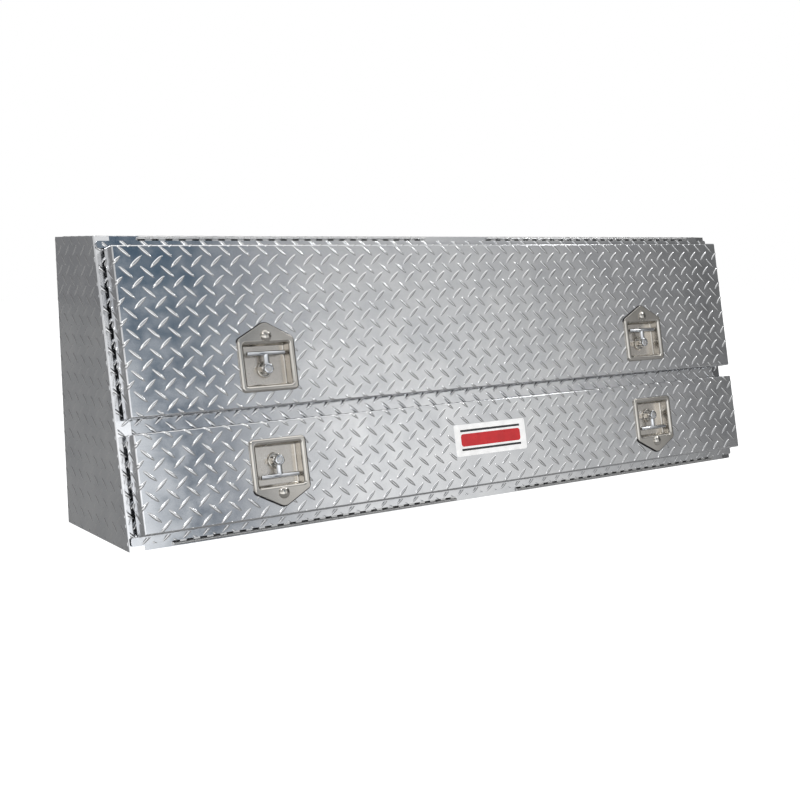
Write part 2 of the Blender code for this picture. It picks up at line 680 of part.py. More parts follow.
def main():
    clear_scene()
    materials = {
        "tread": make_material("tread_plate", (0.78, 0.79, 0.80), 0.28, 1.0),
        "plain": make_material("plain_sheet", (0.72, 0.73, 0.74), 0.40, 1.0),
        "stainless": make_material("stainless", (0.66, 0.63, 0.58), 0.25, 1.0),
        "chrome": make_material("chrome", (0.85, 0.86, 0.88), 0.06, 1.0),
        "steel": make_material("zinc_steel", (0.62, 0.62, 0.60), 0.35, 1.0),
        "rubber": make_material("rubber", (0.02, 0.02, 0.02), 0.70, 0.0),
        "black": make_material("black_paint", (0.03, 0.03, 0.03), 0.35, 0.0),
        "label": make_material("label_vinyl", (0.92, 0.92, 0.92), 0.30, 0.0),
    }
    face = make_empty("face_axes", None, (0, FACE_Y, 0), (math.pi / 2 - SLANT, 0, 0))

    make_shell(materials["tread"], materials["plain"])
    make_rails(materials["tread"])
    for side in (-1, 1):
        make_side_panel(side, materials["tread"])
    rubber = materials["rubber"]
    make_seal("upper_door_seal", UPPER_DOOR[0] + SEAL_INSET, UPPER_DOOR[1] - SEAL_HINGE_INSET,
              face, rubber)
    make_seal("lower_door_seal", LOWER_DOOR[0] + SEAL_HINGE_INSET, LOWER_DOOR[1] - SEAL_INSET,
              face, rubber)

    doors = {"upper": (UPPER_DOOR, HINGE_UPPER_S, 1, LATCH_UPPER_S, 1, UPPER_STIFFENER_S, 0.68),
             "lower": (LOWER_DOOR, HINGE_LOWER_S, -1, LATCH_LOWER_S, -1, LOWER_STIFFENER_S, 0.40)}
    for door, (span, axis_s, flange_side, latch_s, tip, stiffener_s, half_length) in doors.items():
        door_axis = make_empty(f"{door}_door_axis", face, (0, axis_s, HINGE_OFF))
        make_door_skin(door, *span, axis_s, flange_side, latch_s, tip, door_axis, materials["tread"])
        make_stiffener(door, stiffener_s, half_length, axis_s, door_axis, materials["plain"])
        make_hinge(door, axis_s, -flange_side, face, door_axis, materials["steel"])
        for side, word in ((-1, "left"), (1, "right")):
            name = f"latch_{door}_{word}"
            axis = make_empty(f"{name}_axis", door_axis,
                              (LATCH_X[side], latch_s - axis_s, DOOR_PROUD - HINGE_OFF),
                              (0, 0, 0 if tip > 0 else math.pi))
            make_latch_pan(name, axis, materials["stainless"])
            make_bolt(name, axis, materials["stainless"])
            make_spindle(name, axis, materials["stainless"])
            make_cam(name, axis, materials["steel"])
            fold = make_empty(f"{name}_fold_axis", axis, (0, 0, FOLD_HEIGHT))
            make_handle(name, fold, materials["chrome"], materials["steel"])
            if door == "upper":
                make_strut(side, word, face, door_axis, axis_s, materials)
    make_label(HINGE_LOWER_S, bpy.data.objects["lower_door_axis"], materials["label"])


main()
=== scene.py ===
"""The look of the truck tool box: tread lugs, folded sheet, hinges, latches, materials, light, camera.

Everything is in metres, in the CAD frame. Pieces on the slanted front are laid out in the face's own axes:
x along the box, s up the slope, off outwards. Pieces of a latch are laid out round its shaft: x, v towards
the plate's tip, and outwards from the door's skin.
"""

import json
import math

import bmesh
import bpy
from mathutils import Matrix, Vector


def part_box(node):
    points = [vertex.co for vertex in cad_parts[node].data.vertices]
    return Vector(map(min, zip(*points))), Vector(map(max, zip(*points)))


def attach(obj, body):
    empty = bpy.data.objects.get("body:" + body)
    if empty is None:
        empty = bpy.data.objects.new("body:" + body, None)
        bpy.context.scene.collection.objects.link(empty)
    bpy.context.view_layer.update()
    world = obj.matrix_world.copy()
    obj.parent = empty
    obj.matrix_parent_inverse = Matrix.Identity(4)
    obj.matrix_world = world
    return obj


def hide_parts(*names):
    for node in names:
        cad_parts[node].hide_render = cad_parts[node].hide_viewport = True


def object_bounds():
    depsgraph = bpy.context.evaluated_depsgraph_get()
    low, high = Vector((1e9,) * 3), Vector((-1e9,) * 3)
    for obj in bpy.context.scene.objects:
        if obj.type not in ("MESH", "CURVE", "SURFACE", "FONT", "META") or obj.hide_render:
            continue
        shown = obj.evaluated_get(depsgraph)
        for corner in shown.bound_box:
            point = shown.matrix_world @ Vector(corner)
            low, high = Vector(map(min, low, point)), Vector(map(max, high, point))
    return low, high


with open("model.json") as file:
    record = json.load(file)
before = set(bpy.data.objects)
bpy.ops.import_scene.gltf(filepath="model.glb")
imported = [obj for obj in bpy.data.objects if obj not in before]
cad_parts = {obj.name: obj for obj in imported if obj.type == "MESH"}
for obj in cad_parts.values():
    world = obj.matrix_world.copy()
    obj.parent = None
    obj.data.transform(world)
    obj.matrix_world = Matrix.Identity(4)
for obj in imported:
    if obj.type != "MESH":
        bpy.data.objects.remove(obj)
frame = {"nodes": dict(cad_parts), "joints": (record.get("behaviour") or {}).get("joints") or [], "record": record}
CAD_LOW, CAD_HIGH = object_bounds()
JOINTS = {joint["name"]: joint for joint in frame["joints"]}

# Sheet metal
SHEET = 0.002
BEND = 0.0028
GAP = 0.0003
LIP = 0.012
CORNER = 0.0022
JAMB_DROP = 0.0020
GASKET_INSET = 0.0033
GASKET_SIDE_INSET = 0.0042
GASKET_CORNER = 0.012
GASKET_SIDE = ((0.0, 0.0003), (0.0, 0.0050), (0.0008, 0.0078))  # inset from its edge, height
GASKET_WIDTH = 0.0052

# Tread plate
PITCH_ALONG = 0.03723
PITCH_UP = 0.0348
LUG_LENGTH = 0.0325
LUG_WIDTH = 0.0068
LUG_HEIGHT = 0.0010
LUG_SINK = 0.0002
LUG_STATIONS = 8
LUG_ANGLE = math.radians(41)
DOOR_TREAD = {"upper": (-0.728, 0.500), "lower": (-0.728, 0.1934)}
FLANGE_TREAD = (-0.710, 0.0060)
RAIL_TREAD = (-0.735, 0.203)

# Piano hinge
KNUCKLE_PITCH = 0.0127
KNUCKLE_RADIUS = 0.0025
KNUCKLE_BORE = 0.0015
LEAF = 0.001
LEAF_EDGE = 0.0056

# Latches
PAN_CENTRE = 0.008
PAN_HALF = (0.0455, 0.0372)
PAN_FLOOR = -0.017
PAN_SHEET = 0.0013
PLATE_HALF = 0.0575
PLATE_FOOT = -0.0485
PLATE_TIP = 0.0735
PLATE_SLOPE = math.radians(28)
PLATE_CORNERS = (0.0090, 0.0090, 0.0160)
PLATE_TOP = 0.0045
PLATE_ROLL = 0.0042
TIP_ROLL = 0.0008
TUB_ROLL = 0.0048
GASKET_REACH = 0.0022
BOLT_V = PAN_CENTRE + 0.0505
FOLD_HEIGHT = -0.005
T_REACH = 0.028
T_RISE = 0.002
T_HALF = 0.0385
T_RADIUS = 0.0043
HEAD_RADIUS = 0.0095
HEAD_FRONT = 0.0088
PLUG_RADIUS = 0.0058
KEY_SLOT = (0.0036, 0.0026, 0.0014)
COLLAR_RADIUS = 0.0152
CAM_PLANE = -0.047

# Camera, fitted to the box's corners
LENS = 54.4
LENS_SHIFT = (-0.0325, 0.036)
CAMERA_PLACE = (-1.5256, -2.0050, 0.5067)
CAMERA_TURN = (math.pi / 2 - 0.1504, 0.0028, -0.6332)

# Studio. The open lower door and its handles hang below the box's underside, so the floor lies lower.
FLOOR_LEVEL = -0.12
FLOOR_HALF = 12.0
FLOOR_TONE = 0.38
LAMPS = {"key": ((-1.2, -2.6, 2.6), 0.5, 9.0), "rim": ((2.4, -1.6, 2.2), 0.4, 6.0)}  # place, width, watts
LAMP_AIM = (0, 0, 0.26)

# What the metal reflects: stops of (degrees from -y towards +x, brightness or colour)
LOW_WALLS = ((-180, (0.196, 0.196, 0.201)), (-90, 0.253), (-50, 0.977), (0, 1.26), (22.0, (1.42, 1.44, 1.46)),
             (23.9, (0.09, 0.12, 0.155)), (25.5, (0.13, 0.16, 0.20)), (27, (0.34, 0.36, 0.39)), (30, 0.70),
             (33, (0.90, 0.90, 0.894)), (38, (0.79, 0.79, 0.784)), (42, (0.63, 0.63, 0.624)), (46, 0.41),
             (49, 0.24), (52, 0.11), (57, 0.106), (110, 0.115), (150, 0.253), (180, (0.196, 0.196, 0.201)))
HIGH_WALLS = ((-180, (0.121, 0.121, 0.127)), (-95, 0.172), (-55, 0.644), (6, 0.50), (13, 0.80),
              (18.8, (0.76, 0.775, 0.79)), (21.3, (0.05, 0.085, 0.13)), (26.8, (0.08, 0.125, 0.17)),
              (30.3, (0.34, 0.35, 0.37)), (33.3, 0.49), (39.8, 0.50), (43.8, 0.38), (47.8, 0.208),
              (52.8, 0.135), (105, 0.092), (145, 0.202), (180, (0.121, 0.121, 0.127)))
OVERHEAD = ((-180, 0.14), (-60, 0.25), (10, 0.30), (33, 0.40), (42, 1.00), (60, 1.05), (68, 0.50),
            (80, 0.22), (92, 0.14), (180, 0.14))
SOFTBOX = 1.15
# The heights on the unit sphere between which one layer gives way to the next
RISES = {"high_walls": (0.175, 0.34), "overhead": (0.40, 0.58), "softbox": (0.72, 0.82)}


# ---------------------------------------------------------------- the frame's own measures

OUT = Vector(JOINTS["latch_upper_left_turn"]["axis"])
SLANT = math.asin(OUT.z)
FACE = (Matrix.Translation((0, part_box("left_side_panel")[0].y, 0))
        @ Matrix.Rotation(math.pi / 2 - SLANT, 4, "X"))
TO_FACE = FACE.inverted()
HALF = CAD_HIGH.x
TOP = CAD_HIGH.z
BACK = CAD_HIGH.y


def face_span(node, above=-1.0):
    """The lowest and highest (x, s, off) of a node's points that lie further out than the given height."""
    points = [TO_FACE @ vertex.co for vertex in frame["nodes"][node].data.vertices]
    points = [point for point in points if point.z > above]
    return [Vector(map(pick, zip(*points))) for pick in (min, max)]


def read_door(name, flange_side):
    """A door's pan, rim and flange in the face's axes."""
    low, high = face_span(f"{name}_door_skin", above=0.03)
    skin_low, skin_high = face_span(f"{name}_door_skin")
    hinge = TO_FACE @ Vector(JOINTS[f"{name}_door_hinge"]["pos_m"])
    return {"name": name, "body": f"{name}_door", "half": high.x, "low": low.y, "high": high.y,
            "proud": high.z, "rim": face_span(f"{name}_door_seal")[1].z + GAP,
            "flange_side": flange_side, "flange_edge": (skin_high if flange_side > 0 else skin_low).y,
            "flange_low": skin_low.z, "axis_s": hinge.y, "axis_off": hinge.z}


DOORS = [read_door("upper", 1), read_door("lower", -1)]


def latch_matrix(door, word):
    """Takes a latch's own axes to the frame."""
    name = f"latch_{door['name']}_{word}"
    shaft = TO_FACE @ Vector(JOINTS[f"{name}_turn"]["pos_m"])
    turn = 0.0 if door["flange_side"] > 0 else math.pi
    return (FACE @ Matrix.Translation((shaft.x, shaft.y, door["proud"]))
            @ Matrix.Rotation(turn, 4, "Z"))


# ---------------------------------------------------------------- materials

def new_material(name):
    material = bpy.data.materials.new(name)
    material.use_nodes = True
    return material, material.node_tree, material.node_tree.nodes["Principled BSDF"]


def add_node(tree, kind, **settings):
    node = tree.nodes.new(kind)
    for key, value in settings.items():
        setattr(node, key, value)
    return node


def noise(tree, scale, detail=3.0, stretch=(1, 1, 1)):
    """Noise in object space, in features per metre."""
    coordinates = add_node(tree, "ShaderNodeTexCoord")
    mapping = add_node(tree, "ShaderNodeMapping")
    mapping.inputs["Scale"].default_value = stretch
    texture = add_node(tree, "ShaderNodeTexNoise")
    texture.inputs["Scale"].default_value = scale
    texture.inputs["Detail"].default_value = detail
    tree.links.new(coordinates.outputs["Object"], mapping.inputs["Vector"])
    tree.links.new(mapping.outputs["Vector"], texture.inputs["Vector"])
    return texture.outputs["Fac"]


def ramp(tree, source, stops):
    node = add_node(tree, "ShaderNodeValToRGB")
    elements = node.color_ramp.elements
    while len(elements) < len(stops):
        elements.new(0.5)
    for element, (position, colour) in zip(elements, stops):
        element.position = position
        element.color = (*colour, 1.0)
    tree.links.new(source, node.inputs["Fac"])
    return node.outputs["Color"]


def spread(tree, source, low, high):
    """Maps the middle of a noise's range to two values."""
    node = add_node(tree, "ShaderNodeMapRange")
    node.inputs["From Min"].default_value = 0.3
    node.inputs["From Max"].default_value = 0.7
    node.inputs["To Min"].default_value = low
    node.inputs["To Max"].default_value = high
    tree.links.new(source, node.inputs["Value"])
    return node.outputs["Result"]


def bump(tree, source, strength, distance, normal=None):
    node = add_node(tree, "ShaderNodeBump")
    node.inputs["Strength"].default_value = strength
    node.inputs["Distance"].default_value = distance
    tree.links.new(source, node.inputs["Height"])
    if normal:
        tree.links.new(normal, node.inputs["Normal"])
    return node.outputs["Normal"]


def metal(name, dark, light, smooth, rough, ripple=0.0, grain=0.0, grain_along=(1, 1, 1)):
    """Bare metal: blotchy tone and gloss, a slow ripple in the sheet and a fine rolled or brushed grain."""
    material, tree, shader = new_material(name)
    shader.inputs["Metallic"].default_value = 1.0
    tone = noise(tree, 14.0, 5.0)
    tree.links.new(ramp(tree, tone, ((0.3, dark), (0.7, light))), shader.inputs["Base Color"])
    gloss = noise(tree, 31.0, 6.0)
    tree.links.new(spread(tree, gloss, smooth, rough), shader.inputs["Roughness"])
    normal = None
    if ripple:
        normal = bump(tree, noise(tree, 11.0, 1.5), ripple, 0.004)
    if grain:
        normal = bump(tree, noise(tree, 160.0, 2.0, grain_along), grain, 0.0004, normal)
    if normal:
        tree.links.new(normal, shader.inputs["Normal"])
    return material


def plain(name, colour, roughness, speckle=0.0, coat=0.0, painted_glow=0.0):
    """A painted, moulded or printed surface with a slight tone change and speckle. Its glow is painted light: the
    surface gives off light in its own colour.
    """
    material, tree, shader = new_material(name)
    tone = noise(tree, 60.0, 3.0)
    darker = tuple(0.86 * channel for channel in colour)
    paint = ramp(tree, tone, ((0.35, darker), (0.65, colour)))
    tree.links.new(paint, shader.inputs["Base Color"])
    # A glow in the paint's own colour is painted light, not a lamp.
    tree.links.new(paint, shader.inputs["Emission Color"])
    shader.inputs["Emission Strength"].default_value = painted_glow
    tree.links.new(spread(tree, noise(tree, 90.0), roughness * 0.85, roughness * 1.15),
                   shader.inputs["Roughness"])
    shader.inputs["Coat Weight"].default_value = coat
    shader.inputs["Coat Roughness"].default_value = 0.08
    if speckle:
        tree.links.new(bump(tree, noise(tree, 900.0, 2.0), speckle, 0.0003), shader.inputs["Normal"])
    return material


MATERIALS = {
    "tread_plate": metal("tread_aluminium", (0.76, 0.775, 0.80), (0.90, 0.91, 0.925), 0.08, 0.17,
                         ripple=0.10, grain=0.08, grain_along=(0.12, 1, 1)),
    "lug": metal("lug_aluminium", (0.86, 0.87, 0.885), (0.95, 0.955, 0.96), 0.13, 0.22, grain=0.05),
    "plain_sheet": metal("mill_aluminium", (0.66, 0.67, 0.685), (0.78, 0.785, 0.79), 0.32, 0.46,
                         ripple=0.05, grain=0.14, grain_along=(0.08, 1, 1)),
    "stainless": metal("stainless_steel", (0.60, 0.575, 0.53), (0.76, 0.735, 0.69), 0.06, 0.14,
                       grain=0.05, grain_along=(0.1, 1, 1)),
    "satin_stainless": metal("satin_stainless_steel", (0.68, 0.64, 0.59), (0.80, 0.765, 0.715), 0.20, 0.30,
                             ripple=0.1),
    "chrome": metal("chrome_plate", (0.70, 0.72, 0.75), (0.80, 0.82, 0.85), 0.03, 0.08),
    "zinc_steel": metal("zinc_steel", (0.70, 0.70, 0.70), (0.84, 0.84, 0.835), 0.20, 0.34, grain=0.08),
    "rubber": plain("seal_rubber", (0.016, 0.016, 0.017), 0.62, speckle=0.25),
    "black_paint": plain("gloss_black_paint", (0.022, 0.022, 0.024), 0.28, coat=0.5),
    # The white vinyl glows: painted light.
    "label_vinyl": plain("white_vinyl_painted_light", (0.97, 0.97, 0.965), 0.30, coat=0.4, painted_glow=0.42),
    "label_grey": plain("printed_grey", (0.035, 0.035, 0.04), 0.32, coat=0.4),
    # The red print glows too: painted light.
    "label_red_painted_light": plain("printed_red_painted_light", (0.62, 0.016, 0.022), 0.32, coat=0.4, painted_glow=0.30),
}


def paint_nodes():
    """Every CAD node that stays in view takes its own slot's procedural material."""
    for part in frame["record"]["subparts"]:
        node = frame["nodes"][part["node"]]
        node.data.materials.clear()
        node.data.materials.append(MATERIALS[part["material_slot"]])


# ---------------------------------------------------------------- mesh helpers

def make_piece(name, bm, material, body, matrix=None, replaces=(), sharp=35):
    """Turns a mesh in its own axes into a shown piece that rides on a body."""
    if matrix:
        bm.transform(matrix)
    bmesh.ops.remove_doubles(bm, verts=bm.verts, dist=1e-6)
    bmesh.ops.recalc_face_normals(bm, faces=bm.faces)
    mesh = bpy.data.meshes.new(name)
    bm.to_mesh(mesh)
    bm.free()
    mesh.materials.append(MATERIALS[material])
    mesh.shade_smooth()
    mesh.set_sharp_from_angle(angle=math.radians(sharp))
    piece = bpy.data.objects.new(name, mesh)
    bpy.context.scene.collection.objects.link(piece)
    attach(piece, body)
    if replaces:
        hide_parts(*replaces)
    return piece


def skin_between(bm, first, second):
    """Joins two closed rows of points with a band of faces."""
    for i in range(len(first)):
        j = (i + 1) % len(first)
        bm.faces.new((first[i], first[j], second[j], second[i]))


def loft(bm, rings, close_ends=True):
    rows = [[bm.verts.new(point) for point in ring] for ring in rings]
    for first, second in zip(rows, rows[1:]):
        skin_between(bm, first, second)
    if close_ends:
        bm.faces.new(rows[0])
        bm.faces.new(rows[-1])
    return rows


def on_axis(axis, across, along, height):
    """A point from two cross coordinates and a height along the named axis."""
    return {"X": (height, across, along), "Y": (across, height, along),
            "Z": (across, along, height)}[axis]


def prism(bm, outline, low, high, axis="Z"):
    loft(bm, [[on_axis(axis, a, b, h) for a, b in outline] for h in (low, high)])


def box(bm, low, high):
    prism(bm, [(low[0], low[1]), (high[0], low[1]), (high[0], high[1]), (low[0], high[1])],
          low[2], high[2])


def circle(radius, segments, centre=(0, 0)):
    return [(centre[0] + radius * math.cos(math.tau * i / segments),
             centre[1] + radius * math.sin(math.tau * i / segments)) for i in range(segments)]


def turned(bm, profile, axis="Z", centre=(0, 0), segments=32):
    """A solid of revolution from (height, radius) pairs."""
    loft(bm, [[on_axis(axis, a, b, height) for a, b in circle(radius, segments, centre)]
              for height, radius in profile])


def tube(bm, outer, inner, low, high, axis, centre, segments=16):
    rows = []
    for radius, height in ((outer, low), (outer, high), (inner, high), (inner, low)):
        rows.append([bm.verts.new(on_axis(axis, a, b, height))
                     for a, b in circle(radius, segments, centre)])
    for first, second in zip(rows, rows[1:] + rows[:1]):
        skin_between(bm, first, second)


def rounded_outline(low, high, radius, steps=6):
    """A rectangle with round corners, counter-clockwise from its lower right corner."""
    corners = ((high[0] - radius, low[1] + radius, -90), (high[0] - radius, high[1] - radius, 0),
               (low[0] + radius, high[1] - radius, 90), (low[0] + radius, low[1] + radius, 180))
    points = []
    for cx, cy, start in corners:
        for k in range(steps + 1):
            angle = math.radians(start + 90 * k / steps)
            points.append((cx + radius * math.cos(angle), cy + radius * math.sin(angle)))
    return points


def fill_between(bm, rows):
    """Flat faces inside the first closed row of points and outside the others."""
    edges = []
    for row in rows:
        for first, second in zip(row, row[1:] + row[:1]):
            edges.append(bm.edges.get((first, second)) or bm.edges.new((first, second)))
    bmesh.ops.triangle_fill(bm, edges=edges, use_beauty=True)


def keep_one_side(bm, point, normal, geometry=None):
    """Cuts the mesh on a plane, drops what the normal points at, and closes the cut."""
    geometry = geometry or bm.verts[:] + bm.edges[:] + bm.faces[:]
    bmesh.ops.bisect_plane(bm, geom=geometry, plane_co=point, plane_no=normal, clear_outer=True)
    bmesh.ops.holes_fill(bm, edges=[edge for edge in bm.edges if edge.is_boundary], sides=0)


# ---------------------------------------------------------------- tread plate

def lug_rows():
    """Rows of (along, across, height) over one spindle-shaped lug."""
    section = ((-1.0, 0.0), (-0.76, 0.52), (-0.40, 0.88), (0.0, 1.0),
               (0.40, 0.88), (0.76, 0.52), (1.0, 0.0))
    rows = []
    for i in range(LUG_STATIONS + 1):
        t = 2 * i / LUG_STATIONS - 1
        width = LUG_WIDTH / 2 * (1 - t * t) ** 0.75
        height = LUG_HEIGHT * (1 - t ** 4) ** 0.6
        rows.append([(t * LUG_LENGTH / 2, width * across, height * up) for across, up in section])
    return rows


LUG_ROWS = lug_rows()


def add_lug(bm, centre, side):
    """One closed lug on the flat sheet. side is 1 where it climbs to the right."""
    cos, sin = math.cos(LUG_ANGLE), side * math.sin(LUG_ANGLE)
    grid = []
    for row in LUG_ROWS:
        points = []
        for along, across, height in row:
            a = centre[0] + along * cos - across * sin
            b = centre[1] + along * sin + across * cos
            points.append(bm.verts.new((a, b, height if height > 0 else -LUG_SINK)))
        grid.append(points)
    faces = []
    for first, second in zip(grid, grid[1:]):
        for i in range(len(first)):
            j = (i + 1) % len(first)
            faces.append(bm.faces.new((first[i], first[j], second[j], second[i])))
    vertices = [vertex for row in grid for vertex in row]
    edges = list(dict.fromkeys(edge for face in faces for edge in face.edges))
    return vertices + edges + faces


def clear_of(bm, geometry, centre, hole):
    """Cuts a lug back from a rectangular hole that its middle lies outside."""
    low, high = hole
    sides = ((low[0] - centre[0], (low[0], 0, 0), (1, 0, 0)),
             (centre[0] - high[0], (high[0], 0, 0), (-1, 0, 0)),
             (low[1] - centre[1], (0, low[1], 0), (0, 1, 0)),
             (centre[1] - high[1], (0, high[1], 0), (0, -1, 0)))
    _, point, normal = max(sides)
    keep_one_side(bm, point, normal, geometry)


def tread(name, body, low, high, place, phase, holes=(), allow=None, cuts=()):
    """Lugs over a flat sheet between two corners, then bent onto the box by place()."""
    bm = bmesh.new()
    reach = LUG_LENGTH / 2
    for side, shift in ((-1, 0.0), (1, 0.5)):
        first = [math.floor((low[k] - reach - phase[k]) / pitch - shift)
                 for k, pitch in enumerate((PITCH_ALONG, PITCH_UP))]
        last = [math.ceil((high[k] + reach - phase[k]) / pitch - shift)
                for k, pitch in enumerate((PITCH_ALONG, PITCH_UP))]
        for i in range(first[0], last[0] + 1):
            for j in range(first[1], last[1] + 1):
                centre = (phase[0] + (i + shift) * PITCH_ALONG, phase[1] + (j + shift) * PITCH_UP)
                outside = any(c < a - reach or c > b + reach for c, a, b in zip(centre, low, high))
                inside = any(a[0] < centre[0] < b[0] and a[1] < centre[1] < b[1] for a, b in holes)
                if outside or inside or (allow and not allow(centre)):
                    continue
                geometry = add_lug(bm, centre, side)
                for a, b in holes:
                    gaps = [max(a[k] - centre[k], centre[k] - b[k]) for k in (0, 1)]
                    if max(gaps) < reach * 0.75:
                        clear_of(bm, geometry, centre, (a, b))
                        break
    planes = [((low[0], 0, 0), (-1, 0, 0)), ((high[0], 0, 0), (1, 0, 0)),
              ((0, low[1], 0), (0, -1, 0)), ((0, high[1], 0), (0, 1, 0)), *cuts]
    for point, normal in planes:
        keep_one_side(bm, point, normal)
    for vertex in bm.verts:
        vertex.co = place(vertex.co)
    make_piece(name, bm, "lug", body, sharp=50)


def fold(distance, radius, height):
    """How far past the start of a 90-degree bend, and how far down from the face, a sheet's point lands."""
    arc = radius * math.pi / 2
    if distance < arc:
        angle = distance / radius
        return (radius + height) * math.sin(angle), radius - (radius + height) * math.cos(angle)
    return radius + height, radius + distance - arc


def door_surface(door):
    """Bends flat sheet coordinates (x, s, height) round the four edges of a door."""
    def place(point):
        x, s, height = point
        flat_x = door["half"] - BEND
        flat_low, flat_high = door["low"] + BEND, door["high"] - BEND
        if abs(x) > flat_x:
            over, down = fold(abs(x) - flat_x, BEND, height)
            return FACE @ Vector((math.copysign(flat_x + over, x), s, door["proud"] - down))
        if s < flat_low:
            over, down = fold(flat_low - s, BEND, height)
            return FACE @ Vector((x, flat_low - over, door["proud"] - down))
        if s > flat_high:
            over, down = fold(s - flat_high, BEND, height)
            return FACE @ Vector((x, flat_high + over, door["proud"] - down))
        return FACE @ Vector((x, s, door["proud"] + height))
    return place


def jamb_edge(word):
    """How far out a door jamb starts, and its top end up the slope."""
    low, high = face_span(f"{word}_side_panel", above=-0.0005)
    return min(abs(low.x), abs(high.x)), high.y


def make_ends():
    """Each end panel with its jamb, bent from one sheet; the jamb springs back a little."""
    for side, word in ((-1, "left"), (1, "right")):
        inner, _ = jamb_edge(word)
        outer_line, inner_line = [(inner, 0.0)], [(inner, -SHEET)]
        for k in range(11):
            angle = math.radians(90 - 9 * k)
            for line, radius in ((outer_line, BEND), (inner_line, BEND - SHEET)):
                line.append((HALF - BEND + radius * math.cos(angle),
                             -JAMB_DROP - BEND + radius * math.sin(angle)))
        outer_line.append((HALF, -0.45))
        inner_line.append((HALF - SHEET, -0.45))
        bm = bmesh.new()
        prism(bm, [(side * x, off) for x, off in outer_line + inner_line[::-1]], -0.2, 0.8, "Y")
        bm.transform(FACE)
        keep_one_side(bm, (0, 0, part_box("top_panel")[1].z), (0, 0, 1))
        keep_one_side(bm, (0, 0, 0), (0, 0, -1))
        keep_one_side(bm, (0, BACK - SHEET - GAP, 0), (0, 1, 0))
        make_piece(f"{word}_end_sheet", bm, "tread_plate", "body", replaces=[f"{word}_side_panel"])


def make_tread():
    """The raised pattern on every sheet that is tread plate."""
    wall = BEND * (math.pi / 2 - 1)
    for door in DOORS:
        depth = door["proud"] - door["rim"] + wall - 0.0005
        phase = DOOR_TREAD[door["name"]]
        holes = []
        for word in ("left", "right"):
            matrix = TO_FACE @ latch_matrix(door, word)
            half_x, half_v = PAN_HALF[0] + 0.004, PAN_HALF[1] + 0.004
            corners = [matrix @ Vector((x, PAN_CENTRE + v, 0))
                       for x in (-half_x, half_x) for v in (-half_v, half_v)]
            holes.append(((min(c.x for c in corners), min(c.y for c in corners)),
                          (max(c.x for c in corners), max(c.y for c in corners))))
        if door["name"] == "lower":
            low, high = face_span("label")
            holes.append(((low.x - 0.001, low.y - 0.001), (high.x + 0.001, high.y + 0.001)))
        flat = door["half"] - BEND - LUG_LENGTH / 2
        levels = (door["low"] + BEND + LUG_LENGTH / 2, door["high"] - BEND - LUG_LENGTH / 2)
        across = (-door["half"] - depth, door["half"] + depth)
        up = (door["low"] - depth, door["high"] + depth)

        def on_sheet(centre, flat=flat, levels=levels):
            return abs(centre[0]) < flat or levels[0] < centre[1] < levels[1]

        tread(f"{door['name']}_door_tread", door["body"], (across[0], up[0]), (across[1], up[1]),
              door_surface(door), phase, holes, on_sheet)
        edge, wall_s = door["flange_edge"], door["high"] if door["flange_side"] > 0 else door["low"]
        inner = wall_s + door["flange_side"] * 0.0045
        low_s, high_s = sorted((inner, edge - door["flange_side"] * 0.0004))
        off = door["flange_low"] + SHEET

        def on_flange(point, off=off):
            return FACE @ Vector((point.x, point.y, off + point.z))

        tread(f"{door['name']}_flange_tread", door["body"], (-door["half"], low_s), (door["half"], high_s),
              on_flange, (FLANGE_TREAD[0], edge - FLANGE_TREAD[1]))

    def on_front(point):
        return FACE @ point

    rail_low, rail_high = face_span("mid_rail")
    tread("mid_rail_tread", "body", (rail_low.x, rail_low.y + 0.003), (rail_high.x, rail_high.y - 0.003),
          on_front, RAIL_TREAD)
    for side, word in ((-1, "left"), (1, "right")):
        def on_end(point, side=side):
            return Vector((side * (HALF + point.z), -point.x * side, point.y))

        front = (side * -CAD_LOW.y, side * -BACK)
        low_a, high_a = min(front), max(front)
        foot = -side * (FACE @ Vector((0, 0, -0.004))).y
        edge_cut = ((foot, 0, 0), (side * math.cos(SLANT), math.sin(SLANT), 0))
        tread(f"{word}_side_tread", "body", (low_a + 0.002, 0.003), (high_a - 0.002, TOP - 0.003), on_end,
              (-side * (BACK - 0.02), 0.014), cuts=[edge_cut])
        inner, high_s = jamb_edge(word)

        def on_jamb(point, inner=inner):
            drop = JAMB_DROP * (abs(point.x) - inner) / (HALF - inner)
            return FACE @ Vector((point.x, point.y, point.z - drop))

        jamb = sorted((side * (HALF - 0.0045), side * (inner + 0.0005)))
        tread(f"{word}_jamb_tread", "body", (jamb[0], 0.012), (jamb[1], high_s - 0.013), on_jamb,
              (jamb[0], 0.03))

    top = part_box("top_panel")[1].z

    def on_top(point):
        return Vector((point.x, point.y, top + point.z))

    front_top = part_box("top_panel")[0].y + 0.006
    tread("top_tread", "body", (-HALF + 0.004, front_top), (HALF - 0.004, BACK - 0.004), on_top,
          (-HALF + 0.02, BACK - 0.02))


# ---------------------------------------------------------------- doors

def door_ring(door, inset, off, radius):
    return [(x, s, off) for x, s in rounded_outline(
        (-door["half"] + inset, door["low"] + inset), (door["half"] - inset, door["high"] - inset),
        max(radius - inset, 0.0004), 5)]


